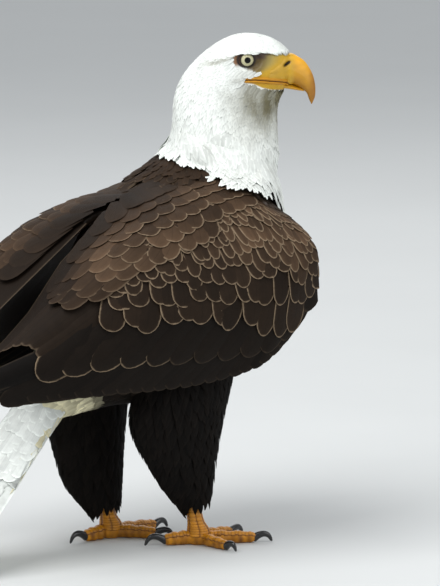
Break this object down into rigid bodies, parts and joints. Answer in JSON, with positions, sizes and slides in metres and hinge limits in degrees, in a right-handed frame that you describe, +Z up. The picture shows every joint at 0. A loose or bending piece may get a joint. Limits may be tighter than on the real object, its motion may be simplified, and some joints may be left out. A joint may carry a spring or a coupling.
{
  "type": "bald eagle model",
  "caption": "Life-size adult bald eagle standing still, head turned to its right, wings loosely folded, white head and tail, brown body, yellow bill and feet.",
  "frame": {"origin": "middle of the bird's box, on the floor that its feet stand on", "axes": "+X is the way the trunk faces, +Y is the bird's left, +Z is up"},
  "size_m": [0.6156, 0.3588, 0.6387],
  "materials": {
    "white_feathers": "matt white feathers",
    "brown_feathers": "dark brown feathers with paler edges",
    "trouser_feathers": "blackish brown feathers",
    "bill": "satin yellow horn",
    "foot_skin": "scaled orange-yellow skin",
    "claw": "polished black horn",
    "eye": "wet and glossy, pale yellow iris"
  },
  "bodies": {
    "root": {"head": "white_feathers", "neck": "white_feathers", "tail": "white_feathers", "trunk": "brown_feathers", "wing_right": "brown_feathers", "wing_left": "brown_feathers", "thigh_right": "trouser_feathers", "thigh_left": "trouser_feathers", "bill_upper": "bill", "bill_lower": "bill", "eye_right": "eye", "eye_left": "eye", "tarsus_right": "foot_skin", "tarsus_left": "foot_skin", "toe_right_inner": "foot_skin", "claw_right_inner": "claw", "toe_right_middle": "foot_skin", "claw_right_middle": "claw", "toe_right_outer": "foot_skin", "claw_right_outer": "claw", "toe_right_hind": "foot_skin", "claw_right_hind": "claw", "toe_left_inner": "foot_skin", "claw_left_inner": "claw", "toe_left_middle": "foot_skin", "claw_left_middle": "claw", "toe_left_outer": "foot_skin", "claw_left_outer": "claw", "toe_left_hind": "foot_skin", "claw_left_hind": "claw"}
  },
  "joints": []
}
